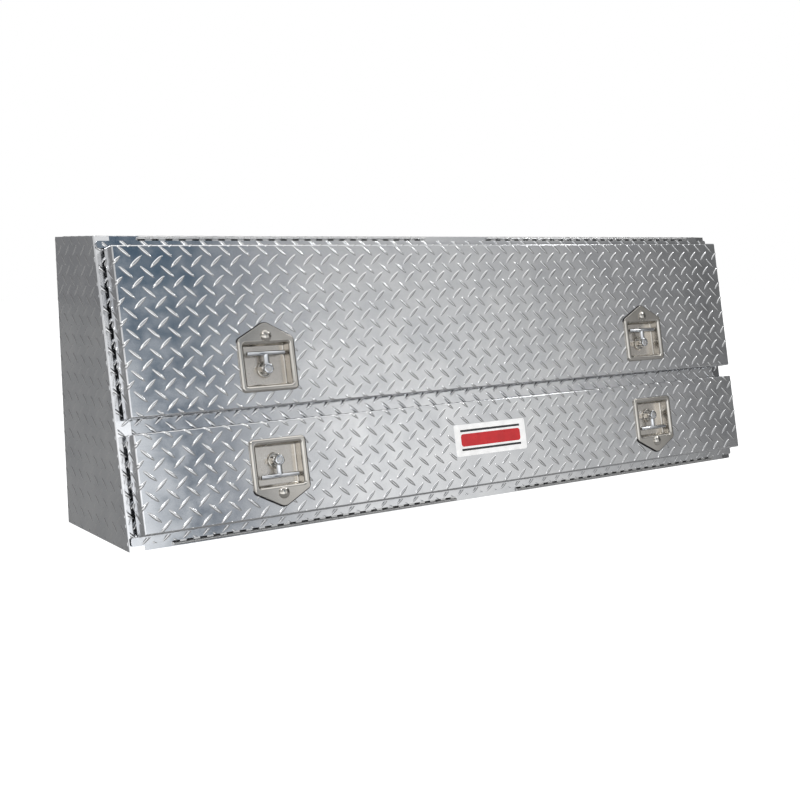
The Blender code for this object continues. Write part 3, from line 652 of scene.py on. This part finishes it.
def make_door_skin(door):
    """A pan folded from one sheet, open where the latch tubs go through, with its hinge flange."""
    bm = bmesh.new()
    proud, rim = door["proud"], door["rim"]

    def bend_line(radius, steps):
        for k in range(steps + 1):
            angle = math.radians(90 * k / steps)
            yield BEND - radius * math.cos(angle), proud - BEND + radius * math.sin(angle)

    outside = [(LIP, rim), (0.0008, rim), (0.0, rim + 0.0008), *bend_line(BEND, 8)]
    inside = [(LIP, rim + SHEET), (SHEET, rim + SHEET), *bend_line(BEND - SHEET, 3)]
    outer_rows = loft(bm, [door_ring(door, *place, CORNER) for place in
                           outside + [(BEND + 0.0004, proud)]], close_ends=False)
    inner_rows = loft(bm, [door_ring(door, *place, CORNER) for place in
                           inside + [(BEND + 0.0004, proud - SHEET)]], close_ends=False)
    skin_between(bm, outer_rows[0], inner_rows[0])

    openings = []
    clearance = PAN_SHEET + 0.0012
    for word in ("left", "right"):
        matrix = TO_FACE @ latch_matrix(door, word)
        outline = rounded_outline((-PAN_HALF[0] - clearance, -PAN_HALF[1] - clearance),
                                  (PAN_HALF[0] + clearance, PAN_HALF[1] + clearance), 0.006, 3)
        for ring in (outline, circle(0.0052, 12, (0, BOLT_V - PAN_CENTRE))):
            openings.append([matrix @ Vector((x, PAN_CENTRE + v, 0)) for x, v in ring])
    edges_out, edges_in = [], []
    for ring in openings:
        edges_out.append([bm.verts.new((p.x, p.y, proud)) for p in ring])
        edges_in.append([bm.verts.new((p.x, p.y, proud - SHEET)) for p in ring])
        skin_between(bm, edges_out[-1], edges_in[-1])
    fill_between(bm, [outer_rows[-1], *edges_out])
    fill_between(bm, [inner_rows[-1], *edges_in])

    side = door["flange_side"]
    wall = door["high"] if side > 0 else door["low"]
    low = door["flange_low"]
    radius = BEND
    centre = (wall + side * radius, low + SHEET + radius)
    top, bottom = [], []
    for k in range(7):
        angle = math.radians(90 * k / 6)
        direction = (-side * math.cos(angle), -math.sin(angle))
        top.append((centre[0] + direction[0] * radius, centre[1] + direction[1] * radius))
        bottom.append((centre[0] + direction[0] * (radius + SHEET),
                       centre[1] + direction[1] * (radius + SHEET)))
    edge = door["flange_edge"]
    outline = [(wall, rim + 0.006), *top, (edge - side * 0.0004, low + SHEET),
               (edge, low + SHEET - 0.0004), (edge, low + 0.0002), *bottom[::-1],
               (wall - side * SHEET, rim + 0.006)]
    length = door["half"] - 0.004
    prism(bm, outline, -length, length, "X")
    reach = face_span(f"{door['name']}_door_skin")[1].x
    ears = [(x, s) for x, s in rounded_outline(
        (-reach, min(wall + side * 0.0020, edge)), (reach, max(wall + side * 0.0020, edge)), 0.004, 4)]
    prism(bm, ears, low + 0.0002, low + SHEET - 0.00005, "Z")
    make_piece(f"{door['name']}_door_pan", bm, "tread_plate", door["body"], matrix=FACE,
               replaces=[f"{door['name']}_door_skin"], sharp=32)


def make_gasket(door):
    """A bulb of rubber on the body's face, set in from the door's rim."""
    low, high = face_span(f"{door['name']}_door_seal")
    section = [*GASKET_SIDE, (GASKET_WIDTH / 2, door["rim"] - GAP),
               *[(GASKET_WIDTH - inset, off) for inset, off in GASKET_SIDE[::-1]]]
    rings = []
    for inset, off in section:
        edge = GASKET_INSET + inset
        rings.append([FACE @ Vector((x, s, off)) for x, s in rounded_outline(
            (low.x + GASKET_SIDE_INSET + edge, low.y + edge),
            (high.x - GASKET_SIDE_INSET - edge, high.y - edge), GASKET_CORNER - edge)])
    bm = bmesh.new()
    rows = loft(bm, rings, close_ends=False)
    skin_between(bm, rows[-1], rows[0])
    make_piece(f"{door['name']}_door_gasket", bm, "rubber", "body",
               replaces=[f"{door['name']}_door_seal"], sharp=60)


# ---------------------------------------------------------------- hinges

def make_hinges(door):
    """Piano hinge with half-inch knuckles; each leaf is cut away where the other leaf's knuckles turn."""
    side = -door["flange_side"]
    name = door["name"]
    for word in ("left", "right"):
        low, high = face_span(f"{name}_hinge_pin_{word}")
        for owner, body in (("body", "body"), ("door", door["body"])):
            node = f"{name}_hinge_{owner}_leaf_{word}"
            leaf_low, leaf_high = face_span(node)
            far = (leaf_low if side < 0 else leaf_high).y
            off = leaf_low.z if owner == "body" else GAP + LEAF + GAP
            bm = bmesh.new()
            near = door["axis_s"] + side * LEAF_EDGE
            ends = sorted((near, far))
            box(bm, (low.x, ends[0], off), (high.x, ends[1], off + LEAF))
            count = round((high.x - low.x) / KNUCKLE_PITCH)
            pitch = (high.x - low.x) / count
            for k in range(0 if owner == "body" else 1, count, 2):
                start, stop = low.x + pitch * k + 0.0002, low.x + pitch * (k + 1) - 0.0002
                tab = sorted((door["axis_s"] + side * 0.0004, near + side * 0.001))
                box(bm, (start, tab[0], off + 0.0001), (stop, tab[1], off + LEAF - 0.0001))
                tube(bm, KNUCKLE_RADIUS, KNUCKLE_BORE, start, stop, "X",
                     (door["axis_s"], door["axis_off"]))
            make_piece(f"{node}_fine", bm, "zinc_steel", body, matrix=FACE, replaces=[node])
        # A black rubber strip between the leaves, seen through the slots beside the knuckles, is painted shade in
        # those slots.
        bm = bmesh.new()
        gap = sorted((door["axis_s"] + side * (KNUCKLE_RADIUS + 0.0001),
                      door["axis_s"] + side * (LEAF_EDGE + 0.0022)))
        box(bm, (low.x, gap[0], GAP + LEAF + 0.00004), (high.x, gap[1], GAP + LEAF + GAP - 0.00004))
        make_piece(f"{name}_hinge_{word}_bedding", bm, "rubber", "body", matrix=FACE)


# ---------------------------------------------------------------- latches

def plate_points():
    """The plate's outline as (centre, radius, angle, roll) with more points where it turns."""
    def arc(cx, cy, radius, start, end, steps, roll_start, roll_end):
        for k in range(steps + 1):
            share = k / steps
            yield ((cx, cy), radius, start + (end - start) * share,
                   roll_start + (roll_end - roll_start) * share)

    foot, shoulder, tip = PLATE_CORNERS
    turn = math.pi / 2 - PLATE_SLOPE
    across, up = math.sin(PLATE_SLOPE), math.cos(PLATE_SLOPE)
    shoulder_x = PLATE_HALF - shoulder
    shoulder_v = ((PLATE_TIP - tip) * up + tip - shoulder - shoulder_x * across) / up
    right = [*arc(PLATE_HALF - foot, PLATE_FOOT + foot, foot, -math.pi / 2, 0, 8,
                  PLATE_ROLL, PLATE_ROLL),
             ((shoulder_x, shoulder_v - 0.004), shoulder, 0.0, PLATE_ROLL),
             *arc(shoulder_x, shoulder_v, shoulder, 0, turn, 7, PLATE_ROLL, TIP_ROLL),
             *arc(0, PLATE_TIP - tip, tip, turn, math.pi / 2, 6, TIP_ROLL, TIP_ROLL)]
    left = [((-centre[0], centre[1]), radius, math.pi - angle, roll)
            for centre, radius, angle, roll in right[-2::-1]]
    return right + left


PLATE_POINTS = plate_points()


def plate_ring(inset_of, off_of):
    """A ring round the plate. Both arguments give a length from a point's own roll radius."""
    ring = []
    for centre, radius, angle, roll in PLATE_POINTS:
        reach = radius - inset_of(roll)
        ring.append((centre[0] + reach * math.cos(angle),
                     PAN_CENTRE + centre[1] + reach * math.sin(angle), off_of(roll)))
    return ring


def make_latch_pan(name, matrix, body):
    """A pressed plate with rolled sides and a square tub, as one thin sheet, on a black gasket."""
    bm = bmesh.new()
    rings = []
    for k in range(8):
        angle = math.radians(90 * k / 7)
        rings.append(plate_ring(lambda roll: roll * (1 - math.cos(angle)),
                                lambda roll: PLATE_TOP - roll * (1 - math.sin(angle))))
    rings.append(plate_ring(lambda roll: roll + 0.0003, lambda roll: PLATE_TOP))
    plate_rows = loft(bm, rings, close_ends=False)

    def tub_ring(grow, off, corner):
        return [(x, PAN_CENTRE + v, off) for x, v in rounded_outline(
            (-PAN_HALF[0] - grow, -PAN_HALF[1] - grow), (PAN_HALF[0] + grow, PAN_HALF[1] + grow),
            corner + grow, 5)]

    tub = [tub_ring(TUB_ROLL + 0.0003, PLATE_TOP, 0.0032)]
    for k in range(7):
        angle = math.radians(90 * k / 6)
        tub.append(tub_ring(TUB_ROLL * (1 - math.sin(angle)),
                            PLATE_TOP - TUB_ROLL * (1 - math.cos(angle)), 0.0032))
    foot = 0.0030
    for k in range(7):
        angle = math.radians(90 * k / 6)
        tub.append(tub_ring(-0.0008 - foot * (1 - math.cos(angle)),
                            PAN_FLOOR + foot * (1 - math.sin(angle)), 0.0040))
    tub_rows = loft(bm, tub, close_ends=False)
    fill_between(bm, [plate_rows[-1], tub_rows[0]])
    shaft = [bm.verts.new((a, b, PAN_FLOOR)) for a, b in circle(0.0062, 24)]
    fill_between(bm, [tub_rows[-1], shaft])
    pan = make_piece(f"{name}_pressing", bm, "stainless", body, matrix=matrix,
                     replaces=[f"{name}_pan"], sharp=40)
    # The tub's floor is flat and has a satin finish.
    pan.data.materials.append(MATERIALS["satin_stainless"])
    to_plate = matrix.inverted()
    for face in pan.data.polygons:
        if (to_plate @ face.center).z < PAN_FLOOR + 0.0001:
            face.material_index = 1
            face.use_smooth = False
    # The sheet's thickness goes inwards, away from the shown face.
    thick = pan.modifiers.new("sheet", "SOLIDIFY")
    thick.thickness = PAN_SHEET
    thick.offset = -1.0

    bm = bmesh.new()
    reach = GASKET_REACH / (PLATE_ROLL - TIP_ROLL)
    outer = [plate_ring(lambda roll, s=share: -s * reach * (PLATE_ROLL - roll) + 0.0004,
                        lambda roll, off=off: off)
             for off, share in ((0.0001, 1.0), (0.0018, 1.0), (0.0026, 0.5))]
    rows = loft(bm, outer, close_ends=False)
    inner = [tub_ring(0.0016, off, 0.005) for off in (0.0001, 0.0026)]
    inner_rows = loft(bm, inner, close_ends=False)
    fill_between(bm, [rows[0], inner_rows[0]])
    fill_between(bm, [rows[-1], inner_rows[-1]])
    make_piece(f"{name}_gasket", bm, "rubber", body, matrix=matrix)


def make_latch_bolt(name, matrix, body):
    rise = PLATE_TOP
    centre = (0, BOLT_V)
    bm = bmesh.new()
    dome = [(rise + 0.0008 + 0.0038 * math.sin(math.radians(a)), 0.0106 * math.cos(math.radians(a)))
            for a in range(0, 86, 12)]
    turned(bm, ((rise - 0.001, 0.0103), (rise + 0.0004, 0.0106), *dome, (rise + 0.0046, 0.0006)),
           centre=centre, segments=40)
    turned(bm, ((-0.0185, 0.0040), (-0.0178, 0.0047), (rise, 0.0047)), centre=centre, segments=20)
    turned(bm, ((-0.0100, 0.0074), (-0.0094, 0.0082), (-0.0029, 0.0082), (-0.0023, 0.0074)),
           centre=centre, segments=6)
    make_piece(f"{name}_bolt_fine", bm, "stainless", body, matrix=matrix, replaces=[f"{name}_bolt"])


def make_latch_spindle(name, matrix):
    """Collar, ears, fold pin, shaft and nut. They turn with the handle."""
    floor = PAN_FLOOR + GAP
    bm = bmesh.new()
    turned(bm, ((floor, COLLAR_RADIUS), (floor + 0.0014, COLLAR_RADIUS),
                (floor + 0.0030, COLLAR_RADIUS - 0.0009), (floor + 0.0036, COLLAR_RADIUS - 0.0024),
                (floor + 0.0034, COLLAR_RADIUS - 0.0036), (floor + 0.0012, COLLAR_RADIUS - 0.0046)),
           segments=48)
    nut = CAM_PLANE - 0.0023
    turned(bm, ((nut - 0.0065, 0.0044), (nut - 0.0056, 0.0054), (floor + 0.001, 0.0054)), segments=28)
    turned(bm, ((nut - 0.0045, 0.0084), (nut - 0.0039, 0.0092), (nut - 0.0006, 0.0092),
                (nut, 0.0084)), segments=6)
    for side in (-1, 1):
        near, far = sorted((side * (HEAD_RADIUS + GAP), side * (HEAD_RADIUS + 0.0027)))
        cheek = [(-0.0052, floor + 0.0006), (0.0052, floor + 0.0006)]
        for k in range(13):
            angle = math.pi * k / 12
            cheek.append((0.0045 * math.cos(angle), FOLD_HEIGHT + 0.0045 * math.sin(angle)))
        prism(bm, cheek, near, far, "X")
        face = side * (HEAD_RADIUS + 0.0026)
        ends = sorted(((face, 0.0026), (face + side * 0.0006, 0.0025), (face + side * 0.0010, 0.0018)))
        turned(bm, ends, "X", (0, FOLD_HEIGHT), 20)
    make_piece(f"{name}_spindle_fine", bm, "stainless", f"{name}_spindle", matrix=matrix,
               replaces=[f"{name}_spindle"])


def bar_profile():
    """(x, radius) along the T-bar, with rounded ends."""
    cap = 0.0018
    end = [(T_HALF - cap + cap * math.sin(math.radians(a)),
            T_RADIUS - cap * (1 - math.cos(math.radians(a)))) for a in (0, 30, 60, 90)]
    return [(-x, radius) for x, radius in end[::-1]] + end


def make_latch_handle(name, matrix):
    """A cast T-handle: bar, flared stem and a round lock head, with the plug in its face."""
    fold = matrix @ Matrix.Translation((0, 0, FOLD_HEIGHT))
    bm = bmesh.new()
    turned(bm, bar_profile(), "X", (T_REACH, T_RISE), 24)
    stem = []
    for k in range(11):
        share = k / 10
        flare = (2 * share - 1) ** 4
        y = 0.004 + (T_REACH - 0.004) * share
        half_x = 0.0058 + 0.0022 * flare
        half_z = 0.0038 + 0.0003 * flare
        stem.append([(half_x * math.cos(t), y, T_RISE + half_z * math.sin(t))
                     for t in (math.tau * i / 24 for i in range(24))])
    loft(bm, stem)
    turned(bm, [(-HEAD_RADIUS * math.cos(math.radians(a)), HEAD_RADIUS * math.sin(math.radians(a)))
                for a in range(10, 91, 10)]
           + [(HEAD_FRONT - 0.0014, HEAD_RADIUS), (HEAD_FRONT - 0.0004, HEAD_RADIUS - 0.0005),
              (HEAD_FRONT, HEAD_RADIUS - 0.0014), (HEAD_FRONT, PLUG_RADIUS + 0.0004),
              (HEAD_FRONT - 0.0012, PLUG_RADIUS + 0.0003)], segments=48)
    make_piece(f"{name}_handle_fine", bm, "chrome", f"{name}_handle", matrix=fold,
               replaces=[f"{name}_handle"])

    bm = bmesh.new()
    front = HEAD_FRONT - 0.0002
    outer = circle(PLUG_RADIUS, 32)
    wide, level, tall = KEY_SLOT
    key = rounded_outline((-wide, level - tall), (wide, level + tall), 0.0009, 3)
    rows = loft(bm, [[(a, b, front - 0.0056) for a, b in outer],
                     [(a, b, front - 0.0004) for a, b in outer],
                     [(a * 0.93, b * 0.93, front) for a, b in outer]], close_ends=False)
    slot = loft(bm, [[(a, b, front) for a, b in key], [(a, b, front - 0.005) for a, b in key]],
                close_ends=False)
    bm.faces.new(slot[-1])
    bm.faces.new(rows[0])
    fill_between(bm, [rows[-1], slot[0]])
    make_piece(f"{name}_plug_fine", bm, "zinc_steel", f"{name}_lock_plug", matrix=fold,
               replaces=[f"{name}_lock_plug"])


def make_latches():
    for door in DOORS:
        for word in ("left", "right"):
            name = f"latch_{door['name']}_{word}"
            matrix = latch_matrix(door, word)
            make_latch_pan(name, matrix, door["body"])
            make_latch_bolt(name, matrix, door["body"])
            make_latch_spindle(name, matrix)
            make_latch_handle(name, matrix)


# ---------------------------------------------------------------- label

def make_label():
    """A plain printed design in the place of the maker's: a red band between two grey rules. The red band glows
    with painted light.
    """
    low, high = face_span("label")
    centre = (low + high) / 2
    half = (high - low) / 2
    wide = 0.84
    # Level and half height as shares of the label's half height, material and corner radius
    bands = {"label_band": (0.0, 0.40, "label_red_painted_light", 0.006),
             "label_rule_top": (0.60, 0.07, "label_grey", 0.001),
             "label_rule_foot": (-0.60, 0.07, "label_grey", 0.001)}
    for name, (level, tall, material, corner) in bands.items():
        middle = centre.y + level * half.y
        bm = bmesh.new()
        outline = rounded_outline((centre.x - wide * half.x, middle - tall * half.y),
                                  (centre.x + wide * half.x, middle + tall * half.y), corner)
        prism(bm, outline, high.z - 0.0001, high.z + 0.00012)
        make_piece(name, bm, material, "lower_door", matrix=FACE)


# ---------------------------------------------------------------- light and camera

def make_floor():
    """A pale floor, plain white to the camera."""
    bm = bmesh.new()
    box(bm, (-FLOOR_HALF, -FLOOR_HALF, FLOOR_LEVEL - 0.02), (FLOOR_HALF, FLOOR_HALF, FLOOR_LEVEL))
    mesh = bpy.data.meshes.new("floor")
    bm.to_mesh(mesh)
    bm.free()
    floor = bpy.data.objects.new("floor", mesh)
    bpy.context.scene.collection.objects.link(floor)
    material, tree, shader = new_material("pale_floor")
    shader.inputs["Base Color"].default_value = (FLOOR_TONE, FLOOR_TONE, FLOOR_TONE, 1)
    shader.inputs["Roughness"].default_value = 0.9
    shader.inputs["Specular IOR Level"].default_value = 0.0
    shader.inputs["Emission Color"].default_value = (1, 1, 1, 1)
    seen = add_node(tree, "ShaderNodeLightPath")
    tree.links.new(seen.outputs["Is Camera Ray"], shader.inputs["Emission Strength"])
    mesh.materials.append(material)


def stretch(tree, source, low, high):
    """Maps a range of the source to 0 to 1."""
    node = add_node(tree, "ShaderNodeMapRange")
    node.inputs["From Min"].default_value = low
    node.inputs["From Max"].default_value = high
    tree.links.new(source, node.inputs["Value"])
    return node.outputs["Result"]


def mix(tree, factor, first, second):
    """Mixes two colours; each is a socket, or a brightness."""
    node = add_node(tree, "ShaderNodeMix", data_type="RGBA")
    tree.links.new(factor, node.inputs["Factor"])
    for colour, socket in ((first, "A"), (second, "B")):
        if isinstance(colour, float):
            node.inputs[socket].default_value = (colour, colour, colour, 1)
        else:
            tree.links.new(colour, node.inputs[socket])
    return node.outputs["Result"]


def make_studio():
    """A white backdrop to the camera; to the metal, walls with soft dark and bright bands, and a softbox."""
    world = bpy.data.worlds.new("studio")
    bpy.context.scene.world = world
    world.use_nodes = True
    tree = world.node_tree
    coordinates = add_node(tree, "ShaderNodeTexCoord")
    split = add_node(tree, "ShaderNodeSeparateXYZ")
    tree.links.new(coordinates.outputs["Generated"], split.inputs["Vector"])
    back = add_node(tree, "ShaderNodeMath", operation="MULTIPLY")
    back.inputs[1].default_value = -1.0
    tree.links.new(split.outputs["Y"], back.inputs[0])
    azimuth = add_node(tree, "ShaderNodeMath", operation="ARCTAN2")
    tree.links.new(split.outputs["X"], azimuth.inputs[0])
    tree.links.new(back.outputs[0], azimuth.inputs[1])
    turn = stretch(tree, azimuth.outputs[0], -math.pi, math.pi)

    def bands(stops):
        return ramp(tree, turn, [((degrees + 180) / 360, tone if isinstance(tone, tuple) else (tone,) * 3)
                                 for degrees, tone in stops])

    def above(layer):
        return stretch(tree, split.outputs["Z"], *RISES[layer])

    light = mix(tree, above("high_walls"), bands(LOW_WALLS), bands(HIGH_WALLS))
    light = mix(tree, above("overhead"), light, bands(OVERHEAD))
    light = mix(tree, above("softbox"), light, SOFTBOX)
    seen = add_node(tree, "ShaderNodeLightPath")
    light = mix(tree, seen.outputs["Is Camera Ray"], light, 1.0)
    tree.links.new(light, tree.nodes["Background"].inputs["Color"])


def make_lamps():
    for name, (place, width, power) in LAMPS.items():
        data = bpy.data.lights.new(name, "AREA")
        data.shape = "SQUARE"
        data.size = width
        data.energy = power
        lamp = bpy.data.objects.new(name, data)
        bpy.context.scene.collection.objects.link(lamp)
        lamp.location = place
        lamp.rotation_euler = (Vector(LAMP_AIM) - Vector(place)).to_track_quat("-Z", "Y").to_euler()
    bpy.context.scene.view_settings.view_transform = "Standard"


def make_camera():
    data = bpy.data.cameras.new("camera")
    data.lens = LENS
    data.sensor_width = 36.0
    data.shift_x, data.shift_y = LENS_SHIFT
    data.clip_end = 60.0
    camera = bpy.data.objects.new("camera", data)
    bpy.context.scene.collection.objects.link(camera)
    camera.location = CAMERA_PLACE
    camera.rotation_euler = CAMERA_TURN
    bpy.context.scene.camera = camera


def main():
    make_camera()
    make_floor()
    make_studio()
    make_lamps()
    paint_nodes()
    make_ends()
    for door in DOORS:
        make_door_skin(door)
        make_gasket(door)
        make_hinges(door)
    make_tread()
    make_latches()
    make_label()


main()
